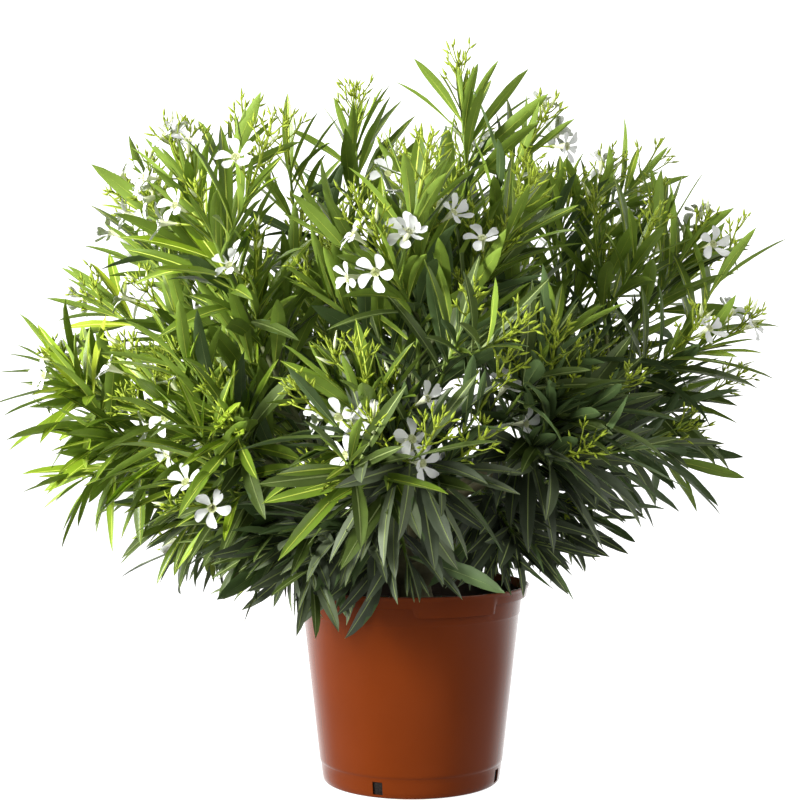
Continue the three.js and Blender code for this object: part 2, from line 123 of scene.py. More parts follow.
# Stems and side shoots
STEM_SAG = {"low": 0.16, "mid": 0.12, "high": 0.05}
SIDE_SHOOTS = 4
SIDE_FIRST = 0.2
SIDE_STEP = 0.16
SIDE_TURN = 137.5
SIDE_DIVERGENCE = 44
SIDE_LIFT = 0.12
SIDE_CURL = 0.08
SIDE_SHARE = 0.68
SIDE_EXTRA = 25
SIDE_SHORTER = [1, 0.75, 0.5]
TURN_JITTER = 24
FOLIAGE_PAST_TIP = 100
FLOWER_RADIUS = 21
FLOWER_NOTCH = 9.5
FLOWER_DEPTH = 54
FLOWER_SPREAD = 42
FLOWER_OUTWARD = 0.8
FLOWER_SEED = 500
ROOT_STEP = 3
SPACE_MARGIN = 2.2
LIMB_MARGIN = 3
POT_MARGIN = 4
BOX_MARGIN = 4

# Finer twigs, which only the visual model has
FINE_PLACES = {"stem": [0.3, 0.5, 0.68, 0.85], "side": [0.4, 0.72]}
FINE_LENGTH = [58, 104]
FINE_SEED = 7000
FINE_DIVERGENCE = [34, 54]
LEAF_SEED = 9000
SPACE_SLACK = 38

# Leaves: a youngest whorl at the shoot's tip, then older and longer ones down it
LEAF_LENGTH = 121
LEAF_SLENDER = {"low": 0.166, "mid": 0.164, "high": 0.152}
FIRST_WHORL = 6.0
FLOWERS_CLEAR = 12.0
BLOOM_CLEARANCE = 17.0
WHORL_STEP = 8.5
WHORL_GROWTH = 2.3
LEAFY = {"stem": 260, "side": 180, "fine": 100}
TWIG_RADII = {"stem": (3.5, 2.1), "side": (2.6, 1.7), "fine": (2.0, 1.4)}
WOODY_SHARE = {"stem": 0.45, "side": 0.25, "fine": 0.0}
OLD_WHORL = 7
SPREAD_YOUNG = 20
SPREAD_OLD = {"low": 74, "mid": 64, "high": 54}
DROOP = {"low": 0.2, "mid": 0.04, "high": -0.14}
LEAF_ROWS = 7
UNDERSIDE_SINK = 0.4
AIRY_FROM = 530
AIRY_TO = 760
AIRY_SHARE = 0.62
YELLOWED_SHARE = 0.025
TWIG_LOW = 198
# How low leaves hang, by how far to the right they are
SKIRT_AT = [-320, -60, 0, 110, 150, 225, 285]
SKIRT_LOW = [222, 198, 234, 236, 226, 262, 304]
# A shoot with fewer leaves than this is left out, and a stem keeps its youngest whorls whole
FEWEST_LEAVES = 4
KEPT_WHORLS = 3
OLD_LOSS = 0.42
OLD_LOSS_FROM = 0.45
# The chance of a flower on a mass's finer twigs
FINE_BLOOM = {
    "left_high": 0.6,
    "front_left_high": 0.65,
    "front_left_mid": 0.3,
    "right_high": 0.3,
    "right_mid": 0.3,
    "front_right_high": 0.15,
    "back_high": 0.15,
    "back_left_high": 0.2,
}

# Each bough's heading, then its low, middle and high mass: the stem's turn, lift and reach, and
# how many flowers the stem and each side shoot carry, up to the last that has any
BOUGHS = {
    "front": (2, [-20, 9, 266], [-8, 27, 420, 2, 3, 0, 0, 3], [0, 61, 528, 3, 1, 2, 2, 3]),
    "front_right": (46, [-8, 28, 255], [-10, 36, 415, 0, 3], [-16, 78, 640, 0, 1, 1, 2, 2]),
    "right": (91, [-10, 33, 268], [6, 34, 465, 0, 0, 0, 0, 1], [-6, 49, 600, 2, 0, 1, 1]),
    "back_right": (136, [6, 28, 275], [-8, 36, 450, 2, 0, 1], [-26, 61, 615, 2, 0, 0, 2]),
    "back": (182, [-8, 8, 320, 0, 0, 1], [10, 33, 460, 3, 0, 0, 1], [-6, 58, 555, 2, 0, 2]),
    "back_left": (226, [8, 13, 330], [-8, 34, 450, 0, 2, 0, 1], [4, 80, 625, 0, 0, 0, 1]),
    "left": (270, [-6, 15, 405, 0, 0, 0, 1], [6, 30, 550, 2], [-6, 50, 605, 1, 0, 2, 0, 1]),
    "front_left": (314, [0, 10, 285], [-12, 32, 440, 3, 2, 1, 0, 3], [-18, 58, 630, 2, 1, 2, 1, 2]),
}
LEVELS = ["low", "mid", "high"]

# Tones from the youngest and best lit to the oldest and most shaded, as screen colours. Their light
# and shade are painted; their age is real
TONES = {
    "fresh_lit": "96A824",
    "bright": "7A941E",
    "green": "607820",
    "deep": "4A5B23",
    "blue": "5A644A",
    "shade": "47503D",
    "yellowed": "C0A64A",
}
TONE_FLOORS = [("fresh_lit", 1.28), ("bright", 0.93), ("green", 0.64), ("deep", 0.4), ("blue", 0.17)]
# How much painted light or painted shade the whorls of each level get
LEVEL_LIGHT = {"low": -0.2, "mid": 0.04, "high": 0.1}
# The height and the reach over which whorls are painted lighter, as painted light
CROWN_LOW = 250
CROWN_REACH = 520
# Above this height no whorl gets a painted shade darker than deep
NO_SHADE_FROM = 440
# A paler and a darker copy of the undersides and midribs: painted light and painted shade that follow
# the blade's tone
UNDERSIDES = {"light": "7C9636", "dark": "566C3E"}
MIDRIBS = {"light": "C4D258", "dark": "98A866"}
LIGHT_TONES = ("fresh_lit", "bright", "green", "yellowed")


def seeded(seed):
    """Numbers from 0 to 1, the same ones each run."""
    state = seed & MASK
    while True:
        state = (state + 0x6D2B79F5) & MASK
        mixed = ((state ^ (state >> 15)) * (state | 1)) & MASK
        mixed ^= (mixed + (mixed ^ (mixed >> 7)) * (mixed | 61)) & MASK
        yield (mixed ^ (mixed >> 14)) / 4294967296


def unit(vectors):
    return vectors / np.linalg.norm(vectors, axis=-1, keepdims=True)


def lerp(low, high, share):
    return low + (high - low) * share


def ramp(value, start, end):
    """How far a value has come from a start to an end, from 0 to 1."""
    return np.clip((value - start) / (end - start), 0, 1)


def pointing(heading, lift):
    """The way that a heading and a lift point, in degrees."""
    turn, rise = math.radians(heading), math.radians(lift)
    level = math.cos(rise)
    return np.array([math.sin(turn) * level, -math.cos(turn) * level, math.sin(rise)])


def square_to(axis):
    """Two ways square to an axis and to each other, the first of them level."""
    side = np.cross(axis, UP)
    if side @ side < 1e-4:
        side = np.array([1.0, 0.0, 0.0])
    side = unit(side)
    return side, unit(np.cross(side, axis))


def leaned(axis, spread, turn):
    """An axis leaned over by a spread, in degrees, at a turn round it, in degrees."""
    side, partner = square_to(axis)
    spread, turn = math.radians(spread), math.radians(turn)
    aside = side * math.cos(turn) + partner * math.sin(turn)
    return axis * math.cos(spread) + aside * math.sin(spread)


class Curve:
    """A quadratic curve through its start and its end, pulled towards its bend."""

    def __init__(self, start, bend, end):
        self.start, self.bend, self.end = start, bend, end

    def points(self, shares):
        s = np.asarray(shares, float)[:, None]
        return (1 - s) ** 2 * self.start + 2 * s * (1 - s) * self.bend + s**2 * self.end

    def at(self, share):
        return self.points([share])[0]

    def tangent(self, share):
        return unit((1 - share) * (self.bend - self.start) + share * (self.end - self.bend))

    def length(self):
        steps = np.diff(self.points(np.linspace(0, 1, 201)), axis=0)
        return float(np.linalg.norm(steps, axis=1).sum())


def bough_curve(heading, start_lift):
    start = pointing(heading, start_lift)
    root = HEAD + start * (HEAD_RADIUS + GAP)
    end = HEAD + pointing(heading, BOUGH_END_LIFT) * BOUGH_REACH
    return Curve(root, root + start * BOUGH_REACH * 0.4, end)


def stem_curve(joint, level, heading, lift, reach):
    end = HEAD + pointing(heading, lift) * (reach - FOLIAGE_PAST_TIP)
    bend = (joint + end) / 2
    bend[2] -= STEM_SAG[level] * np.linalg.norm(end - joint)
    start = joint + unit(bend - joint) * (JOINT_RADIUS + GAP)
    return Curve(start, bend, end)


def side_curve(stem, at, turn, share):
    base = stem.at(at)
    way = unit(leaned(stem.tangent(at), SIDE_DIVERGENCE, turn) + UP * SIDE_LIFT)
    length = ((1 - at) * stem.length() * SIDE_SHARE + SIDE_EXTRA) * share
    return Curve(base, base + way * length / 2, base + way * length + UP * SIDE_CURL * length)


def distances(points, lines):
    """How near each point comes to each line of points."""
    starts, steps = lines[:, :-1], np.diff(lines, axis=1)
    offsets = points[:, None, None] - starts[None]
    along = (offsets * steps).sum(-1) / (steps**2).sum(-1)
    offsets -= np.clip(along, 0, 1)[..., None] * steps
    return np.sqrt((offsets**2).sum(-1).min(-1))


class Space:
    """One mass's own space: nearest to its own stem, and clear of the limbs and the pot."""

    lines = None
    limbs = None
    blooms = None
    trunk = np.array([[[0, 0, COMPOST_TOP], HEAD]], float)
    low = np.array(cad_box[0]) / MM - BOX_MARGIN
    high = np.array(cad_box[1]) / MM + BOX_MARGIN

    def __init__(self, index):
        self.index = index

    def holds(self, points, slack=0.0):
        level = np.hypot(points[:, 0], points[:, 1])
        if ((points[:, 2] < POT_HEIGHT + POT_MARGIN) & (level < RIM_RADIUS + POT_MARGIN)).any():
            return False
        if (points < self.low).any() or (points > self.high).any() or points[-1, 2] < TWIG_LOW:
            return False
        if (distances(points, self.limbs) < JOINT_RADIUS + LIMB_MARGIN).any():
            return False
        if (distances(points, self.trunk) < FLARE_RADIUS + LIMB_MARGIN).any():
            return False
        near = distances(points, self.lines)
        own = near[:, self.index].copy()
        near[:, self.index] = np.inf
        return bool((near.min(1) + slack > own + SPACE_MARGIN).all())


def clears_blooms(points):
    """True where points keep out of the view of every flower's face."""
    offsets = points[:, None] - Space.blooms[None]
    return bool(((offsets**2).sum(-1) > BLOOM_CLEARANCE**2).all())


def add_object(name, data):
    thing = bpy.data.objects.new(name, data)
    bpy.context.scene.collection.objects.link(thing)
    return thing


class Pile:
    """Vertices and faces, in millimetres, that become one joined mesh."""

    def __init__(self):
        self.points, self.quads, self.tris, self.count = [], [], [], 0

    def add(self, points, quads=(), tris=()):
        self.points.append(points)
        if len(quads):
            self.quads.append(np.asarray(quads) + self.count)
        if len(tris):
            self.tris.append(np.asarray(tris) + self.count)
        self.count += len(points)

    def add_grids(self, grids):
        """A stack of grids of points, each one a sheet of quads."""
        many, rows, columns = grids.shape[:3]
        corner = np.arange(rows * columns).reshape(rows, columns)
        one = np.stack([corner[:-1, :-1], corner[:-1, 1:], corner[1:, 1:], corner[1:, :-1]], -1)
        each = np.arange(many)[:, None, None] * (rows * columns)
        self.add(grids.reshape(-1, 3), (one.reshape(-1, 4)[None] + each).reshape(-1, 4))

    def add_rings(self, rings, foot, top, first=0):
        """Rings of points, closed over a middle point at both ends. First is where quads start."""
        sides = rings.shape[1]
        index = np.arange(rings.shape[0] * sides).reshape(-1, sides)
        after = np.roll(index, -1, axis=1)
        quads = np.stack([index[:-1], after[:-1], after[1:], index[1:]], -1).reshape(-1, 4)
        under = np.stack([after[0], index[0], np.full(sides, index.size)], -1)
        over = np.stack([index[-1], after[-1], np.full(sides, index.size + 1)], -1)
        points = np.concatenate([rings.reshape(-1, 3), [foot, top]])
        self.add(points, np.roll(quads, first, axis=1), np.concatenate([under, over]))

    def piece(self, name, material, slot="foliage"):
        points = np.concatenate(self.points) * MM
        quads = np.concatenate([np.zeros((0, 4), int), *self.quads])
        tris = np.concatenate([np.zeros((0, 3), int), *self.tris])
        corners = np.concatenate([quads.ravel(), tris.ravel()])
        starts = np.concatenate([np.arange(len(quads)) * 4, quads.size + np.arange(len(tris)) * 3])
        mesh = bpy.data.meshes.new(name)
        for table, field, values in (
            (mesh.vertices, "co", points.astype(np.float32)),
            (mesh.loops, "vertex_index", corners.astype(np.int32)),
            (mesh.polygons, "loop_start", starts.astype(np.int32)),
        ):
            table.add(len(values))
            table.foreach_set(field, values.ravel())
        mesh.shade_smooth()
        mesh.update(calc_edges=True)
        mesh.validate()
        mesh.materials.append(material)
        piece = add_object(name, mesh)
        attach(piece, "root")
        return piece


def tube(pile, points, radii, sides, lumps=None):
    """A round limb along a line of points, closed at both ends. Lumps scale each corner's radius."""
    points = np.asarray(points, float)
    tangents = unit(np.gradient(points, axis=0))
    first = square_to(tangents[0])[0]
    normals = unit(first - tangents * (tangents @ first)[:, None])
    partners = np.cross(tangents, normals)
    turns = np.arange(sides) * 2 * math.pi / sides
    ring = normals[:, None] * np.cos(turns)[:, None] + partners[:, None] * np.sin(turns)[:, None]
    reach = np.asarray(radii, float)[:, None] * np.ones(sides)
    if lumps is not None:
        reach = reach * lumps
    pile.add_rings(points[:, None] + ring * reach[..., None], points[0], points[-1])


def screen(colour):
    """A screen colour as linear light."""
    shares = [channel / 255 for channel in bytes.fromhex(colour)]
    return [s / 12.92 if s <= 0.04045 else ((s + 0.055) / 1.055) ** 2.4 for s in shares]


# Materials


def wire(tree, node, inputs):
    """Set each input of a node to a value, or link it to another node's output."""
    for name, value in inputs.items():
        if isinstance(value, bpy.types.NodeSocket):
            tree.links.new(value, node.inputs[name])
        else:
            node.inputs[name].default_value = value


def add_node(tree, kind, inputs):
    node = tree.nodes.new(kind)
    wire(tree, node, inputs)
    return node


class Finish:
    """A node material whose colour, roughness and relief come from noise over the object."""

    def __init__(self, name, colour, roughness, variation, scale, specular=0.5):
        self.material = bpy.data.materials.new(name)
        self.material.use_nodes = True
        self.tree = self.material.node_tree
        self.place = self.tree.nodes.new("ShaderNodeTexCoord").outputs["Object"]
        base = np.array(screen(colour))
        paint = self.paint(self.noise(scale, 3.0), base * (1 - variation), base * (1 + variation))
        rough = self.ranged(self.noise(scale * 2.3, 2.0), *roughness)
        self.set({"Base Color": paint, "Roughness": rough, "Specular IOR Level": specular})
        self.material.diffuse_color = (*base, 1)

    def set(self, inputs):
        wire(self.tree, self.tree.nodes["Principled BSDF"], inputs)

    def noise(self, scale, detail, roughness=0.5):
        inputs = {"Vector": self.place, "Scale": scale, "Detail": detail, "Roughness": roughness}
        return add_node(self.tree, "ShaderNodeTexNoise", inputs).outputs["Fac"]

    def ranged(self, value, low, high):
        inputs = {"Value": value, "From Min": 0.25, "From Max": 0.75, "To Min": low, "To Max": high}
        node = add_node(self.tree, "ShaderNodeMapRange", inputs)
        node.clamp = False
        return node.outputs["Result"]

    def paint(self, factor, dark, light):
        mix = self.tree.nodes.new("ShaderNodeMix")
        mix.data_type = "RGBA"
        mix.clamp_factor = False
        wire(self.tree, mix, {0: self.ranged(factor, 0, 1), 6: (*dark, 1), 7: (*light, 1)})
        return mix.outputs[2]

    def relief(self, noise, strength, distance):
        """The material, with its relief from a noise of its own."""
        inputs = {"Height": self.noise(*noise), "Strength": strength, "Distance": distance}
        bump = add_node(self.tree, "ShaderNodeBump", inputs)
        self.set({"Normal": bump.outputs["Normal"]})
        return self.material


def leaf_finish(name, colour, glossy):
    roughness, specular = ((0.27, 0.42), 0.5) if glossy else ((0.42, 0.56), 0.36)
    finish = Finish(name, colour, roughness, 0.2, 30, specular)
    return finish.relief((420, 2.0), 0.25, 0.0006)


def soft_finish(name, colour, roughness=(0.5, 0.62), variation=0.1, scale=60):
    finish = Finish(name, colour, roughness, variation, scale, 0.35)
    return finish.relief((700, 2.0), 0.2, 0.0005)


def petal_finish():
    finish = Finish("petal", "DCDEDA", (0.5, 0.62), 0.03, 90, 0.3)
    finish.set({"Subsurface Weight": 0.25, "Subsurface Radius": (0.003, 0.003, 0.003)})
    return finish.relief((900, 3.0), 0.3, 0.0005)


def bark_finish():
    finish = Finish("bark", "6E694B", (0.62, 0.86), 0.3, 55)
    return finish.relief((260, 6.0, 0.65), 0.6, 0.0012)


def plastic_finish():
    finish = Finish("pot_plastic", "6B2C08", (0.15, 0.21), 0.12, 7, 0.3)
    return finish.relief((1100, 3.0), 0.12, 0.0003)


def compost_finish():
    finish = Finish("compost", "2A2018", (0.85, 1.0), 0.45, 220)
    return finish.relief((700, 8.0, 0.7), 0.9, 0.002)


# The shrub's plan


class Shoot:
    """One leafy twig: its curve, kind and mass, the flowers it is due, and what grows on it."""

    def __init__(self, curve, kind, mass, flowers):
        self.curve, self.kind, self.mass, self.flowers = curve, kind, mass, flowers
        self.length = curve.length()
        self.blooms, self.leaves = [], 0


class Mass:
    """A mass of foliage: its stem's curve, level, flowers and space."""

    def __init__(self, index, name, level, curve, flowers):
        self.index, self.name, self.level = index, name, level
        self.curve, self.flowers = curve, flowers + [0] * (SIDE_SHOOTS + 1)
        self.seed = 100 + index
        self.space = Space(index)

    def fitting_side(self, at, turn):
        for share in SIDE_SHORTER:
            curve = side_curve(self.curve, at, turn, share)
            if self.space.holds(curve.points(np.arange(1, 7) / 6)):
                return curve
        return None

    def main_shoots(self):
        draw = seeded(self.seed)
        shoots = [Shoot(self.curve, "stem", self, self.flowers[0])]
        first = next(draw) * 360
        for i in range(SIDE_SHOOTS):
            turn = first + SIDE_TURN * i + (next(draw) - 0.5) * TURN_JITTER
            curve = self.fitting_side(SIDE_FIRST + SIDE_STEP * i, turn)
            if curve:
                shoots.append(Shoot(curve, "side", self, self.flowers[i + 1]))
        return shoots

    def fine_shoots(self, parents):
        """Finer twigs that grow from the main shoots within the same space."""
        draw = seeded(self.seed + FINE_SEED)
        found = []
        for parent in parents:
            turn = next(draw) * 360
            for at in FINE_PLACES[parent.kind]:
                turn += SIDE_TURN
                spread = lerp(*FINE_DIVERGENCE, next(draw))
                length = lerp(*FINE_LENGTH, next(draw))
                base = parent.curve.at(at)
                way = unit(leaned(parent.curve.tangent(at), spread, turn) + UP * 0.25)
                curve = Curve(base, base + way * length / 2, base + way * length + UP * 0.1 * length)
                blooms = int(next(draw) < FINE_BLOOM.get(self.name, 0))
                if next(draw) < airy_share(curve.end) * 0.7:
                    continue
                if self.space.holds(curve.points([0.4, 0.7, 1]), SPACE_SLACK / 2):
                    found.append(Shoot(curve, "fine", self, blooms))
        return found


def airy_share(point):
    """The share of leaves that is missing at a point, where the crown thins out."""
    top = ramp(point[2], AIRY_FROM, AIRY_TO)
    out = abs(point[0])
    side = ramp(out, 170, 280) * ramp(out, 390, 310) * ramp(point[2], 300, 410)
    return AIRY_SHARE * float(max(top, (0.66 if point[0] > 0 else 0.42) * side))


def plan_shrub():
    """Every bough's curve and every mass, with the shared lines that spaces are measured from."""
    boughs, masses = {}, []
    for index, (name, (heading, *levels)) in enumerate(BOUGHS.items()):
        boughs[name] = bough_curve(heading, BOUGH_START_LIFT[index % 2])
        for level, (turn, lift, reach, *flowers) in zip(LEVELS, levels):
            curve = stem_curve(boughs[name].end, level, heading + turn, lift, reach)
            masses.append(Mass(len(masses), f"{name}_{level}", level, curve, flowers))
    steps = np.linspace(0, 1, 13)
    Space.limbs = np.array([curve.points(steps) for curve in boughs.values()])
    Space.lines = np.array([mass.curve.points(steps) for mass in masses])
    return boughs, masses


# Leaves


def whorl_places(shoot):
    """How far each whorl of a shoot is from its tip. Flowers stand clear above the first."""
    leafy = min(LEAFY[shoot.kind], shoot.length * 0.93)
    places, place = [], FIRST_WHORL + (FLOWERS_CLEAR if shoot.flowers else 0)
    while place < leafy:
        places.append(place)
        place += WHORL_STEP + WHORL_GROWTH * len(places)
    return places


def leaf_normal(axis, way, roll):
    face = axis + UP * 0.8
    normal = unit(face - way * (face @ way))
    across = np.cross(normal, way)
    return normal * math.cos(roll) + across * math.sin(roll)


def tone_of(point, age, level, chance):
    """The tone of a whorl: painted light and shade from how high and how far out it is and on which
    side, and real lightness from how young it is.
    """
    x, _, z = point
    height = (z - CROWN_LOW) / CROWN_REACH
    out = np.linalg.norm(point - HEAD) / CROWN_REACH
    # Painted light that grows with height, reach and level, the real lightness of young leaves, and a
    # random share
    lit = 0.54 * height + 0.3 * out + 0.38 * (1 - age) + LEVEL_LIGHT[level]
    # Painted shade right of the middle below the top, painted light on the left below the top, and
    # less painted light at the very top
    shaded_side = ramp(x, -60, 60) * ramp(x, 380, 220) * ramp(z, 650, 470)
    sunny_side = ramp(x, -120, -340) * ramp(z, 640, 520)
    top = ramp(z, 580, 720)
    lit += (chance - 0.5) * 0.46 - 0.52 * shaded_side + 0.4 * sunny_side - 0.3 * top
    if z > NO_SHADE_FROM:
        lit = max(lit, dict(TONE_FLOORS)["deep"] + 0.01)
    for tone, floor in TONE_FLOORS:
        if lit > floor:
            return tone
    return "shade"


def leaf_frames(rows):
    """Each leaf's spine, side, face and half width at every row, with its fold and waves."""
    data = np.array(rows)
    root, way, normal = data[:, 0:3], data[:, 3:6], data[:, 6:9]
    length, width, fold, arch, twist, phase = (data[:, i][:, None] for i in range(9, 15))
    t = (1 - np.cos(np.linspace(0, math.pi, LEAF_ROWS + 1))) / 2
    t = 0.35 * t + 0.65 * np.linspace(0, 1, LEAF_ROWS + 1)
    angle = arch * t
    along = np.sin(angle) / arch * length
    down = (1 - np.cos(angle)) / arch * length
    across = np.cross(normal, way)[:, None]
    spine = root[:, None] + way[:, None] * along[..., None] - normal[:, None] * down[..., None]
    spine = spine + across * (phase * 0.06 * length * t**2)[..., None]
    upright = normal[:, None] * np.cos(angle)[..., None] + way[:, None] * np.sin(angle)[..., None]
    turn = (twist * t)[..., None]
    side = across * np.cos(turn) + upright * np.sin(turn)
    face = upright * np.cos(turn) - across * np.sin(turn)
    shape = t**1.05 * (1 - t) ** 0.85 / (0.553**1.05 * 0.447**0.85)
    half = np.maximum(width / 2 * shape, np.where(t < 0.2, 1.3, 0.25))
    half[:, -1] = 0.12
    wave = 0.09 * np.sin(t * 9 + phase * 6)
    return spine, side, face, half, fold, wave, t


def sheet_points(leaf_frame, columns, sink):
    """The points of a blade's upper or lower sheet. Its margins meet, and its middle sinks."""
    spine, side, face, half, fold, wave, _ = leaf_frame
    points = []
    for u in columns:
        lift = abs(u) * half * (np.sin(fold) + wave) - abs(u) ** 3 * 0.14 * half
        lift = lift - sink * (1 - abs(u))
        reach = u * half * np.cos(fold)
        points.append(spine + side * reach[..., None] + face * lift[..., None])
    return np.stack(points, 2)


def midrib_points(leaf_frame):
    """A pale rib that shows as a line on the upper side and as a ridge below."""
    spine, side, face, half, fold, _, t = leaf_frame
    reach = np.minimum(lerp(1.0, 0.36, t), half * 0.6)
    top = reach * np.sin(fold) + 0.16
    keel = -lerp(1.0, 0.3, t) * np.ones_like(half)
    left = spine - side * reach[..., None] + face * top[..., None]
    right = spine + side * reach[..., None] + face * top[..., None]
    bottom = spine + face * keel[..., None]
    return np.stack([left, right, bottom, left], 2)


def grow_leaves(shoot, tones):
    """Every whorl of a shoot from its tip down, each over the gaps of the last one."""
    level = shoot.mass.level
    draw = seeded(shoot.mass.seed + LEAF_SEED + int(shoot.curve.end @ [7.0, 13.0, 29.0]) % 5000)
    turn = next(draw) * 360
    for k, place in enumerate(whorl_places(shoot)):
        at = 1 - place / shoot.length
        axis, root = shoot.curve.tangent(at), shoot.curve.at(at)
        age = min(k / OLD_WHORL, 1)
        turn += 60 + (next(draw) - 0.5) * 16
        tone = tone_of(root + axis * 50, age, level, next(draw))
        for i in range(3):
            old = level == "low" and age > 0.5 and next(draw) < YELLOWED_SHARE
            grow_leaf(shoot, tones["yellowed" if old else tone], draw, root, axis, turn + 120 * i, k)


def hangs_low(tip):
    """True where a leaf's tip would hang lower than the crown's underside does."""
    behind_pot = tip[1] > 60 and tip[0] < 150
    return tip[2] < (TWIG_LOW if behind_pot else np.interp(tip[0], SKIRT_AT, SKIRT_LOW))


def grow_leaf(shoot, leaves, draw, root, axis, turn, k):
    """One leaf of the whorl k. It is left out where it has dropped or would leave its space."""
    level, age = shoot.mass.level, min(k / OLD_WHORL, 1)
    chance = [next(draw) for _ in range(9)]
    at_stem_tip = shoot.kind == "stem" and k < KEPT_WHORLS
    if chance[0] < OLD_LOSS * max(age - OLD_LOSS_FROM, 0):
        return
    if chance[0] > 1 - airy_share(root) and not at_stem_tip:
        return
    length = LEAF_LENGTH * (1 - math.exp(-(k + 0.85) / 1.35)) * lerp(0.84, 1.1, chance[1])
    width = length * LEAF_SLENDER[level] * lerp(0.86, 1.14, chance[2]) * lerp(0.82, 1, min(age * 3, 1))
    spread = lerp(SPREAD_YOUNG, SPREAD_OLD[level], age**0.72) + (chance[3] - 0.5) * 16
    turn += (chance[4] - 0.5) * 22
    arch = lerp(0.08, 0.62, age) * lerp(0.4, 1.5, chance[5]) + 0.03
    roll = (chance[6] - 0.5) * 1.7
    for narrower in (1, 0.7, 0.45):
        droop = DROOP[level] * lerp(0.35, 1, age) + 0.1 * age
        way = unit(leaned(axis, spread * narrower, turn) - UP * droop)
        normal = leaf_normal(axis, way, roll)
        along = np.array([0.3, 0.45, 0.6, 0.75, 0.88, 1])
        spine = root + np.outer(along, way * length) - np.outer(along**2 / 2, normal * length * arch)
        if hangs_low(spine[-1]) or not shoot.mass.space.holds(spine, SPACE_SLACK):
            continue
        if clears_blooms(spine):
            fold = math.radians(lerp(36, 20, age) * lerp(0.6, 1.3, chance[7]))
            twist = (chance[8] - 0.5) * 0.9
            numbers = [length, width, fold, arch, twist, chance[0] - 0.5]
            leaves.append(np.concatenate([root, way, normal, numbers]))
            shoot.leaves += 1
            return


def make_leaves(shoots, foliage):
    """The blades of each tone, which replace the masses, with their undersides and midribs."""
    tones = {tone: [] for tone in TONES}
    for shoot in shoots:
        grow_leaves(shoot, tones)
    under = {shade: Pile() for shade in UNDERSIDES}
    ribs = {shade: Pile() for shade in MIDRIBS}
    for tone, leaves in tones.items():
        if not leaves:
            continue
        leaf_frame = leaf_frames(leaves)
        # The underside and midrib take the paler or the darker copy, as painted light or painted
        # shade, after the blade's tone
        shade = "light" if tone in LIGHT_TONES else "dark"
        material = leaf_finish(f"leaf_{tone}", TONES[tone], shade == "light")
        blades = Pile()
        blades.add_grids(sheet_points(leaf_frame, [-1, -0.5, 0, 0.5, 1], 0))
        under[shade].add_grids(sheet_points(leaf_frame, [1, 0, -1], UNDERSIDE_SINK))
        ribs[shade].add_grids(midrib_points(leaf_frame))
        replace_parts(blades.piece(f"leaves_{tone}", material), *foliage)
    for shade, pile in under.items():
        material = soft_finish(f"underside_{shade}", UNDERSIDES[shade])
        pile.piece(f"leaf_undersides_{shade}", material)
    for shade, pile in ribs.items():
        pile.piece(f"midribs_{shade}", soft_finish(f"midrib_{shade}", MIDRIBS[shade]))


# Twigs and boughs


def make_twigs(shoots):
    """Each twig: a woody part at its foot, then a green part with slight swellings."""
    woody, green = Pile(), Pile()
    for shoot in shoots:
        thick, thin = TWIG_RADII[shoot.kind]
        bare = WOODY_SHARE[shoot.kind]
        if bare:
            shares = np.linspace(0, bare + 0.01, 6)
            tube(woody, shoot.curve.points(shares), lerp(thick, thin, shares), 8)
        shares = np.linspace(bare, 1, 10)
        swell = 1 + 0.1 * np.cos(shares * shoot.length / 5)
        tube(green, shoot.curve.points(shares), lerp(thick, thin, shares) * swell, 6)
    woody.piece("woody_stems", soft_finish("old_stem", "6A7048", (0.6, 0.75), 0.25))
    green.piece("green_stems", soft_finish("young_stem", "7C953C", (0.45, 0.6), 0.15))


def bark_lumps(rings, sides, seed, amount):
    """Low ridges, pores and ring scars of bark, as a share of the radius."""
    rng = np.random.default_rng(seed)
    turns = np.arange(sides) * 2 * math.pi / sides
    along = np.arange(rings)[:, None]
    lumps = np.zeros((rings, sides))
    for _ in range(7):
        wave, drift, phase = rng.integers(2, 7), rng.normal(0, 0.25), rng.uniform(0, 6.28)
        lumps += rng.uniform(0.2, 0.6) * np.sin(wave * turns + drift * along + phase)
    lumps += rng.normal(0, 0.5, (rings, sides))
    lumps += 1.5 * (np.sin(along * 0.9 + rng.uniform(0, 6.28)) > 0.93)
    return 1 + lumps * amount


def make_limb(name, points, radii, sides, seed, amount, material):
    pile = Pile()
    tube(pile, points, radii, sides, bark_lumps(len(points), sides, seed, amount))
    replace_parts(pile.piece(f"bark_{name}", material, "bark"), name)


def make_bough(name, curve, seed, material):
    shares = np.linspace(0, 1, 40)
    collar = 2.4 * np.exp(-((shares / 0.05) ** 2))
    joint = 2.6 * np.exp(-(((1 - shares) / 0.035) ** 2))
    radii = lerp(*BOUGH_RADIUS, shares) + collar + joint
    line = curve.points(shares)
    line[0] -= (line[1] - line[0]) * 1.2
    make_limb(name, line, radii, 20, seed, 0.016, material)


def make_short_stem(material):
    rise = np.linspace(STEM_FOOT, STEM_TOP, 44)
    neck = lerp(NECK_RADIUS, FLARE_RADIUS, np.exp(-((rise - STEM_FOOT) / 4.5)))
    dome = np.sqrt(np.maximum(HEAD_RADIUS**2 - (rise - HEAD[2]) ** 2, 4.0))
    radii = np.where(rise < HEAD[2] - 8, np.maximum(neck, dome), dome)
    make_limb("short_stem", np.outer(rise, UP), radii, 40, 5, 0.012, material)


# Blossom


PETAL_SHARES = [0, 0.15, 0.3, 0.45, 0.6, 0.74, 0.87, 0.96, 1]
PETAL_HALVES = [1.9, 2.6, 3.7, 4.9, 5.8, 6.1, 5.5, 3.9, 1.9]
PETAL_LENGTH = 17.5
PETAL_SKEW = 4.2
THROAT_RADIUS = 4.4
TUBE_LENGTH = 21
TUBE_DEPTHS = [-TUBE_LENGTH, -15, -12, -8, -4, -1, 0.4]
TUBE_RADII = [1.3, 1.4, 1.9, 2.9, 3.7, 4.4, 4.9]
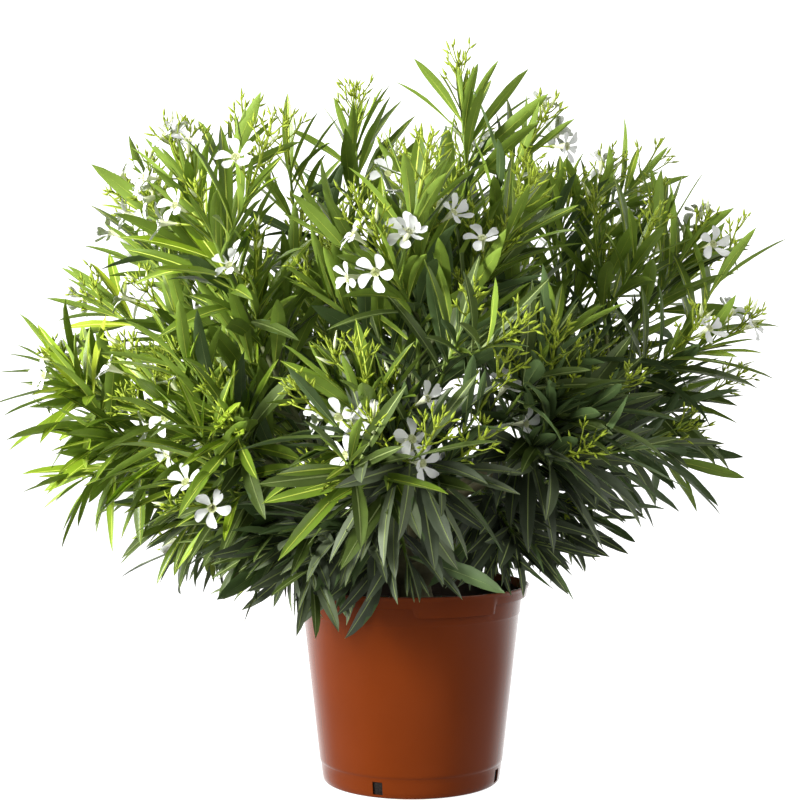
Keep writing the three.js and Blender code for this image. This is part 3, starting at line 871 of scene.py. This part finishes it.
# Where the nodes of a head of buds are, and how many buds each side stalk there ends in
PANICLE_NODES = (0.3, 0.58, 0.82)
PANICLE_TIPS = (3, 3, 2)
PANICLE_CHANCE = {"low": 0.25, "mid": 0.85, "high": 0.95}
# No head of buds stands on a shoot whose tip is lower than this
PANICLE_LOW = 330


def ring_axes(way, turn):
    """A flower's own side, partner and way, turned about the way."""
    side, partner = square_to(way)
    aside = side * math.cos(turn) + partner * math.sin(turn)
    return np.stack([aside, np.cross(way, aside), way])


def petal_points(opening, curl, seed):
    """One petal of a flower that faces +Z, as an upper and a lower sheet."""
    rng = np.random.default_rng(seed)
    shares, halves = np.array(PETAL_SHARES), np.array(PETAL_HALVES)
    lean = np.radians(opening + curl * shares)
    steps = np.diff(shares, prepend=0) * PETAL_LENGTH
    out = THROAT_RADIUS + np.cumsum(np.sin(lean) * steps)
    rise = np.cumsum(np.cos(lean) * steps) - 1.0
    columns = np.array([-1, -0.55, 0, 0.55, 1])
    x = out[:, None] + 0 * columns
    y = (PETAL_SKEW * shares**2)[:, None] + halves[:, None] * columns
    cup = 0.9 * columns**2 * (0.4 + shares[:, None]) + 0.5 * columns * shares[:, None]
    z = rise[:, None] + cup + rng.normal(0, 0.34, x.shape)
    top = np.stack([x, y, z], -1)
    under = top.copy()
    under[1:-1, 1:-1, 2] -= 0.45
    return top, under[:, ::-1]


def turned_points(points, turn):
    cos, sin = math.cos(turn), math.sin(turn)
    x, y, z = points[..., 0], points[..., 1], points[..., 2]
    return np.stack([x * cos - y * sin, x * sin + y * cos, z], -1)


def spoke(i, count, radius, depth):
    """The point i of a ring of points round a flower's axis."""
    turn = 2 * math.pi * i / count
    return np.array([math.cos(turn) * radius, math.sin(turn) * radius, depth])


def add_petals(pile, place, rng, seed):
    opening, size = rng.uniform(36, 60), rng.uniform(0.86, 1.02)
    for i in range(5):
        lean, curl = opening + rng.normal(0, 7), rng.uniform(14, 66)
        turn = 2 * math.pi * i / 5 + rng.normal(0, 0.07)
        for sheet in petal_points(lean, curl, seed * 7 + i):
            pile.add_grids(place(turned_points(sheet * size, turn))[None])


def add_throat(pile, place):
    """A flower's tube, and the ring of spikes in its mouth."""
    depths, radii = np.array(TUBE_DEPTHS)[:, None], np.array(TUBE_RADII)[:, None]
    turns = np.linspace(0, 2 * math.pi, 16)
    rings = np.stack([radii * np.cos(turns), radii * np.sin(turns), depths + 0 * turns], -1)
    pile.add_grids(place(rings)[None])
    for i in range(10):
        foot = spoke(i, 10, 3.6, -1.5)
        tip = foot * [0.72, 0.72, 0] + [0, 0, 2.2 + (i % 2)]
        tube(pile, place([foot, (foot + tip) / 2, tip]), [0.55, 0.4, 0.12], 3)


def add_sepals(pile, place):
    for i in range(5):
        foot = spoke(i, 5, 1.0, -TUBE_LENGTH - 0.5)
        tip = spoke(i, 5, 2.3, -TUBE_LENGTH + 5.5)
        tube(pile, place([foot, lerp(foot, tip, 0.4), tip]), [0.8, 0.9, 0.1], 4)


def add_flower(petals, throats, green, root, way, turn, seed):
    """A flower whose opening is FLOWER_DEPTH from its root along its way."""
    axes, mouth = ring_axes(way, turn), root + way * (FLOWER_DEPTH - 3)

    def place(points):
        return mouth + points @ axes

    add_petals(petals, place, np.random.default_rng(seed), seed)
    add_throat(throats, place)
    add_sepals(green, place)
    tube(green, np.linspace(root, mouth - way * TUBE_LENGTH, 4), [1.1, 1.0, 1.0, 1.5], 5)


def add_bud(pile, root, way, length, radius):
    shares = np.array([0, 0.25, 0.6, 1])
    tube(pile, root + np.outer(shares * length, way), radius * np.array([0.5, 1, 0.75, 0.1]), 4)


def add_side_stalk(stalks, buds, curve, rise, node, turn, i, draw, size):
    """The side stalk i of a node of a head of buds, with a bud at its foot and more at its end."""
    at = PANICLE_NODES[node]
    way = leaned(curve.tangent(at), lerp(34, 52, next(draw)), turn + 120 * i)
    reach = lerp(32, 16, at) * lerp(0.7, 1.2, next(draw)) * size
    base = curve.at(at)
    end = base + way * reach * 0.75 + unit(way + UP * 0.7) * reach * 0.25
    tube(stalks, [base, base + way * reach * 0.5, end], [1.0, 0.85, 0.8], 4)
    add_bud(buds, base, unit(way + rise * 0.6), 7 * size, 1.2)
    for j in range(PANICLE_TIPS[node]):
        bud_way = unit(leaned(unit(end - base), 30, turn + 120 * j + 40) + UP * 0.15)
        bud_root = end - way * 2.5 * j
        bud_end = bud_root + bud_way * lerp(3, 6, next(draw)) * size
        tube(stalks, [bud_root, bud_end], [0.7, 0.65], 3)
        add_bud(buds, bud_end - bud_way, bud_way, lerp(6, 11, next(draw)) * size, 1.45)


def add_panicle(stalks, buds, pale, shoot, draw, size):
    """A branching head of buds on a shoot's tip, with two pale ones beside open flowers."""
    tip, axis = shoot.curve.end, shoot.curve.tangent(1)
    length = lerp(42, 62, next(draw)) * size
    rise = unit(axis + UP * 0.35)
    end = tip + axis * length * 0.45 + rise * length * 0.55
    curve = Curve(tip - axis * 2, tip + axis * length * 0.5, end)
    shares = np.linspace(0, 1, 5)
    tube(stalks, curve.points(shares), lerp(1.7, 1.0, shares), 5)
    turn = next(draw) * 360
    for node in range(len(PANICLE_NODES)):
        turn += 60
        for i in range(3):
            if next(draw) >= 0.12:
                add_side_stalk(stalks, buds, curve, rise, node, turn, i, draw, size)
    for j in range(3):
        way = leaned(curve.tangent(1), 18, turn + 120 * j)
        add_bud(buds, curve.end - way, way, lerp(7, 12, next(draw)) * size, 1.6)
    for j in range(2 if shoot.blooms else 0):
        way = leaned(curve.tangent(0.9), 26 + 14 * j, turn + 150 * j)
        root = curve.at(0.85 - 0.2 * j)
        tube(stalks, [root, root + way * 8], [0.9, 1.2], 5)
        add_bud(pale, root + way * 7, way, lerp(15, 23, next(draw)), 2.3)


def flower_corners(root, way):
    """The solid flower's corners, which say whether a flower keeps to its mass's space."""
    side, partner = square_to(way)
    turns = np.arange(10) * math.pi / 5
    radii = np.where(np.arange(10) % 2, FLOWER_NOTCH, FLOWER_RADIUS)[:, None]
    backs = np.where(np.arange(10) % 2, 5.0, 0.0)[:, None]
    ring = side * np.cos(turns)[:, None] + partner * np.sin(turns)[:, None]
    corners = root + way * (FLOWER_DEPTH - backs) + ring * radii
    return np.concatenate([[root, root + way * (FLOWER_DEPTH - 2.5)], corners])


def plan_blooms(shoot, draw, extra):
    """Each flower's root and way at a shoot's tip: the solids' own, then companions."""
    axis, end = shoot.curve.tangent(1), shoot.curve.end
    outward = unit(np.array([end[0], end[1], 0.0]))
    facing = unit(axis + outward * FLOWER_OUTWARD)
    first = next(draw) * 360
    spread = 10 if shoot.flowers == 1 else FLOWER_SPREAD
    plans = [(spread, first + 360 / shoot.flowers * i) for i in range(shoot.flowers)]
    if shoot.flowers and shoot.kind != "fine":
        companions = 1 + (next(extra) < 0.4)
        plans += [(lerp(50, 66, next(extra)), first + 60 + 150 * i) for i in range(companions)]
    for i, (lean, turn) in enumerate(plans):
        root = end - axis * (i + 1) * ROOT_STEP
        way = unit(leaned(facing, lean, turn))
        if shoot.mass.space.holds(flower_corners(root, way)):
            shoot.blooms.append((root, way))


def plan_blossom(shoots):
    """Every flower's place, and the points in front of them that leaves keep clear of."""
    streams, clear = {}, []
    for shoot in shoots:
        mass = shoot.mass
        pair = seeded(mass.seed + FLOWER_SEED), seeded(mass.seed + FINE_SEED * 3)
        draw, extra = streams.setdefault(mass.index, pair)
        if shoot.kind != "fine":
            plan_blooms(shoot, draw, extra)
        elif shoot.flowers:
            plan_blooms(shoot, extra, extra)
        for root, way in shoot.blooms:
            clear += [root + way * (FLOWER_DEPTH + ahead) for ahead in (0, 20, 40)]
    Space.blooms = np.array(clear)


def make_blossom(shoots):
    petals, throats, stalks, buds, pale = (Pile() for _ in range(5))
    flowers, draws = 0, {}
    for shoot in shoots:
        mass = shoot.mass
        draw = draws.setdefault(mass.index, seeded(mass.seed + FINE_SEED * 2))
        for root, way in shoot.blooms:
            flowers += 1
            seed = mass.seed * 50 + flowers
            add_flower(petals, throats, stalks, root, way, next(draw) * 6.28, seed)
        chance = PANICLE_CHANCE[mass.level] * (0.6 if shoot.kind == "fine" else 1)
        chance *= shoot.curve.end[2] > PANICLE_LOW
        if shoot.blooms or next(draw) < chance:
            add_panicle(stalks, buds, pale, shoot, draw, lerp(0.85, 1.25, next(draw)))
    petals.piece("petals", petal_finish())
    throats.piece("flower_throats", soft_finish("throat", "E9EDC4", variation=0.04))
    stalks.piece("flower_stalks", soft_finish("stalk", "8E9E2C", variation=0.15))
    buds.piece("buds", soft_finish("bud", "9AAC2E", variation=0.2))
    pale.piece("pale_buds", soft_finish("pale_bud", "DDE4B6", variation=0.06))


# Pot and compost


def smooth(value, low, high):
    share = ramp(value, low, high)
    return share * share * (3 - 2 * share)


def wall_radius(height):
    return lerp(FOOT_RADIUS, WALL_TOP_RADIUS, height / (POT_HEIGHT - BAND_HEIGHT))


def pot_profile(panel):
    """Radius and height pairs from the underside to the floor. Panel is 1 on the label panel."""
    foot = POT_HEIGHT - lerp(BAND_HEIGHT, PANEL_HEIGHT, panel)
    band = lerp(BAND_RADIUS, PANEL_RADIUS, panel)
    base, ring, inside = BASE_RING_HEIGHT, STACK_RING_HEIGHT, POT_HEIGHT - BAND_HEIGHT
    under = [(55, 2.2), (88, 1.2), (96, 0.0), (101, 0.0), (103.6, 0.7), (104.8, 2.2)]
    wall = [(wall_radius(z) - BASE_RING_STEP, z) for z in (8, 16, base - 1)]
    wall += [(wall_radius(base) - 0.6, base), (wall_radius(base + 1), base + 0.8)]
    wall += [(wall_radius(z), z) for z in (28, 80, 140, ring - 1)]
    wall += [(wall_radius(ring) + 0.5, ring), (wall_radius(ring + 2) + 0.9, ring + 1.5)]
    wall += [(wall_radius(foot - 3) + 0.8, foot - 3), (wall_radius(foot) + 1.1, foot - 0.5)]
    rim = [(band - 2.2, foot - 0.3), (band - 0.5, foot + 0.3), (band, foot + 1.6)]
    rim += [(lerp(138.2, 139.0, panel), POT_HEIGHT - 6)]
    rim += [(radius, POT_HEIGHT - drop) for radius, drop in RIM_ROUNDING]
    lining = [(WALL_TOP_RADIUS - WALL + 1.6, inside + 1), (WALL_TOP_RADIUS - WALL, inside - 2)]
    lining += [(wall_radius(120) - WALL, 120)]
    lining += [(wall_radius(FLOOR) - BASE_RING_STEP - WALL, FLOOR + 1), (90, FLOOR)]
    return under + wall + rim + lining


def make_pot():
    headings = np.arange(POT_SEGMENTS) * 360 / POT_SEGMENTS
    rises = smooth(headings, PANEL_FROM - 0.6, PANEL_FROM + 0.9)
    panel = rises * (1 - smooth(headings, PANEL_TO - 0.9, PANEL_TO + 0.6))
    profiles = np.array([pot_profile(share) for share in panel])
    turns = np.radians(headings)
    radius, height = profiles[..., 0].T, profiles[..., 1].T
    rings = np.stack([radius * np.sin(turns), -radius * np.cos(turns), height], -1)
    pile = Pile()
    pile.add_rings(rings, [0, 0, 2.5], [0, 0, FLOOR])
    pot = pile.piece("moulded_pot", plastic_finish(), "pot_plastic")
    cut_slots(pot)
    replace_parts(pot, "pot")


def cut_slots(pot):
    """Four drain slots through the wall above the floor, and the notch in the foot under each."""
    pile = Pile()
    for i in range(SLOT_COUNT):
        heading = SLOT_HEADING + 360 / SLOT_COUNT * i
        for low, high, depth in ((FLOOR + 0.6, SLOT_TOP, SLOT_DEPTH), (-2.0, 1.5, 10)):
            half = np.array([SLOT_WIDTH / 2, depth / 2])
            add_box(pile, half, -FOOT_RADIUS, low, high, math.radians(heading))
    cutter = pile.piece("slot_cutter", pot.data.materials[0], "pot_plastic")
    cut = pot.modifiers.new("slots", "BOOLEAN")
    cut.object = cutter
    cut.operation = "DIFFERENCE"
    cut.solver = "EXACT"
    bpy.context.view_layer.update()
    shaped = bpy.data.meshes.new_from_object(pot.evaluated_get(bpy.context.evaluated_depsgraph_get()))
    pot.modifiers.clear()
    pot.data = shaped
    bpy.data.objects.remove(cutter)
    bpy.context.view_layer.objects.active = pot
    pot.select_set(True)
    bpy.ops.object.shade_smooth_by_angle(angle=math.radians(40))
    pot.select_set(False)


def add_box(pile, half, middle, low, high, turn):
    square = [(-1, -1), (1, -1), (1, 1), (-1, 1)]
    corners = [(x * half[0], middle + y * half[1], z) for z in (low, high) for x, y in square]
    faces = [[3, 2, 1, 0], [4, 5, 6, 7], [0, 1, 5, 4], [1, 2, 6, 5], [2, 3, 7, 6], [3, 0, 4, 7]]
    pile.add(turned_points(np.array(corners), turn), faces)


def make_compost_bed(rng, edge, turns):
    """The uneven top of the compost, and its side down to the pot's floor."""
    radii = np.linspace(0.5, edge, COMPOST_RINGS)
    r, a = np.meshgrid(radii, turns, indexing="ij")
    height = COMPOST_TOP - 1.0 - COMPOST_DOME * (r / edge) ** 2.5
    x, y = r * np.cos(a), r * np.sin(a)
    for wave, size in ((14, 1.0), (7, 0.7), (3.5, 0.5)):
        turn, phase = rng.uniform(0, 6.28, 2)
        drift = (y + x * math.sin(turn)) / wave * 2 + turn
        height += size * np.sin(x / wave * 2 + phase) * np.sin(drift)
    height += rng.normal(0, 0.35, height.shape)
    height = np.minimum(height, COMPOST_TOP)
    side = np.stack([x[-1], y[-1], np.full(len(turns), COMPOST_FLOOR)], -1)
    side[:, :2] *= (wall_radius(FLOOR) - 3.2) / edge
    grid = np.concatenate([np.stack([x, y, height], -1), side[None]])
    pile = Pile()
    pile.add_rings(grid[::-1], [0, 0, COMPOST_FLOOR], [0, 0, COMPOST_TOP - 1], first=1)
    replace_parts(pile.piece("compost_bed", compost_finish(), "compost"), "compost")


def paint_wall_shade(rng, turns):
    """A dark film on the wall's inside, up to a ragged upper edge: painted shade inside the rim, dark
    brown like the compost.
    """
    ragged = SHADE_FILM_TOP + 3 * np.sin(turns * 5) + 2 * np.sin(turns * 13 + 1)
    ragged += rng.normal(0, 1, len(turns))
    even = np.full(len(turns), COMPOST_TOP)
    levels = np.stack([even - 6.0, even + 6.0, ragged])
    inside = np.stack([wall_radius(level) - WALL for level in levels])
    inside = inside - np.array([[0.5], [0.5], [0.15]])
    ring = np.stack([inside * np.cos(turns), inside * np.sin(turns), levels], -1)
    film = Pile()
    film.add_grids(np.concatenate([ring, ring[:, :1]], 1)[None])
    # The painted shade's dark brown colour
    material = soft_finish("painted_shade_film", "2C2018", (0.8, 0.95), 0.5, 90)
    film.piece("inner_wall_shade", material, "compost")


def make_bark_chips(rng, edge):
    chips = Pile()
    for _ in range(BARK_CHIPS):
        radius, heading = edge * math.sqrt(rng.uniform(0.04, 0.93)), rng.uniform(0, 360)
        root = pointing(heading, 0) * radius
        root[2] = COMPOST_TOP - 1.6 - COMPOST_DOME * (radius / edge) ** 2.5
        way = pointing(rng.uniform(0, 360), rng.uniform(-12, 25))
        length, thick = rng.uniform(2.5, 9), rng.uniform(0.6, 1.9)
        line = root + np.outer(np.array([0, 0.3, 0.7, 1]) * length, way)
        tube(chips, line, thick * np.array([0.5, 1, 0.9, 0.4]), 5)
    material = soft_finish("bark_chip", "4A3828", (0.8, 0.95), 0.4)
    chips.piece("bark_chips", material, "compost")


def make_compost():
    rng = np.random.default_rng(11)
    edge = wall_radius(COMPOST_TOP - 5) - 2.9
    turns = np.linspace(0, 2 * math.pi, COMPOST_SEGMENTS + 1)[:-1]
    make_compost_bed(rng, edge, turns)
    paint_wall_shade(rng, turns)
    make_bark_chips(rng, edge)


# Camera, light and floor

CAMERA_PLACE = (-0.0169, -1.787, 0.449)
CAMERA_LENS = 67.5
# Each light's place, what it aims at, its size and its power
LIGHTS = {
    "key": ((-2.2, -1.55, 1.3), (0, 0, 0.45), (0.9, 0.9), 146),
    "fill": ((2.2, -1.4, 1.2), (0, 0, 0.4), (1.4, 1.4), 27),
    "back": ((0.4, 2.2, 2.2), (0, 0, 0.6), (2.0, 1.4), 12),
    "front": ((-1.9, -1.8, 0.35), (0, 0, 0.35), (1.4, 0.8), 18),
}
FLOOR_SIDE = 12.0
FLOOR_TONE = (0.42, 0.42, 0.42)
# Each ramp: its axis, from where to where, and the strengths at its ends
SKY_RAMPS = [
    ("Y", -0.6, 0.4, 0.26, 1.0),
    ("Y", 0.35, 0.85, 1.0, 2.6),
    ("Z", -0.7, 0.6, 0.5, 0.72),
]


def make_camera():
    data = bpy.data.cameras.new("camera")
    data.lens = CAMERA_LENS
    data.sensor_width = 36
    camera = add_object("camera", data)
    camera.location = CAMERA_PLACE
    camera.rotation_euler = (math.radians(90), 0, 0)
    bpy.context.scene.camera = camera


def add_light(name, place, aim, size, power):
    data = bpy.data.lights.new(name, "AREA")
    data.shape = "RECTANGLE"
    data.size, data.size_y = size
    data.energy = power
    light = add_object(name, data)
    light.location = place
    way = np.array(aim) - np.array(place)
    level = math.hypot(way[0], way[1])
    light.rotation_euler = (math.atan2(level, -way[2]), 0, math.atan2(way[1], way[0]) - math.pi / 2)


def add_math(tree, operation, first, second):
    node = add_node(tree, "ShaderNodeMath", {0: first, 1: second})
    node.operation = operation
    return node.outputs[0]


def camera_ray(tree):
    return tree.nodes.new("ShaderNodeLightPath").outputs["Is Camera Ray"]


def make_sky():
    """A white surround that lights the shrub from behind and above more than from the front."""
    world = bpy.data.worlds.new("studio")
    world.use_nodes = True
    tree = world.node_tree
    view = tree.nodes.new("ShaderNodeTexCoord").outputs["Generated"]
    way = add_node(tree, "ShaderNodeSeparateXYZ", {0: view})
    strength = 1.0
    for axis, start, end, low, high in SKY_RAMPS:
        ends = {"From Min": start, "From Max": end, "To Min": low, "To Max": high}
        share = add_node(tree, "ShaderNodeMapRange", {"Value": way.outputs[axis], **ends})
        strength = add_math(tree, "MULTIPLY", strength, share.outputs["Result"])
    strength = add_math(tree, "MAXIMUM", strength, camera_ray(tree))
    wire(tree, tree.nodes["Background"], {"Color": (1, 1, 1, 1), "Strength": strength})
    bpy.context.scene.world = world


def make_floor():
    """A plain white floor, as bright to the camera as the surround."""
    material = bpy.data.materials.new("floor")
    material.use_nodes = True
    tree = material.node_tree
    looks = {"Base Color": (*FLOOR_TONE, 1), "Roughness": 0.9, "Specular IOR Level": 0.1}
    glow = {"Emission Color": (1, 1, 1, 1), "Emission Strength": camera_ray(tree)}
    wire(tree, tree.nodes["Principled BSDF"], {**looks, **glow})
    half = FLOOR_SIDE / 2
    mesh = bpy.data.meshes.new("floor")
    corners = [(-half, -half, 0), (half, -half, 0), (half, half, 0), (-half, half, 0)]
    mesh.from_pydata(corners, [], [(0, 1, 2, 3)])
    mesh.materials.append(material)
    floor = add_object("floor", mesh)
    floor.location.z = -0.0005
    floor.visible_glossy = False
    floor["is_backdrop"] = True


def make_studio():
    make_sky()
    make_floor()
    for name, (place, aim, size, power) in LIGHTS.items():
        add_light(name, place, aim, size, power)
    bpy.context.scene.view_settings.view_transform = "Standard"


def make_shrub():
    boughs, masses = plan_shrub()
    shoots = []
    for mass in masses:
        main = mass.main_shoots()
        shoots += main + mass.fine_shoots(main)
    bark = bark_finish()
    make_short_stem(bark)
    for index, (name, curve) in enumerate(boughs.items()):
        make_bough(f"bough_{name}", curve, 20 + index, bark)
    plan_blossom(shoots)
    make_leaves(shoots, [f"foliage_{mass.name}" for mass in masses])
    leafy = [shoot for shoot in shoots if shoot.kind == "stem" or shoot.leaves >= FEWEST_LEAVES]
    make_twigs(leafy)
    make_blossom(leafy)


make_camera()
make_studio()
make_pot()
make_compost()
make_shrub()
boxes = {"cad": cad_box, "visual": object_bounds()}
{name: [list(corner) for corner in box] for name, box in boxes.items()}
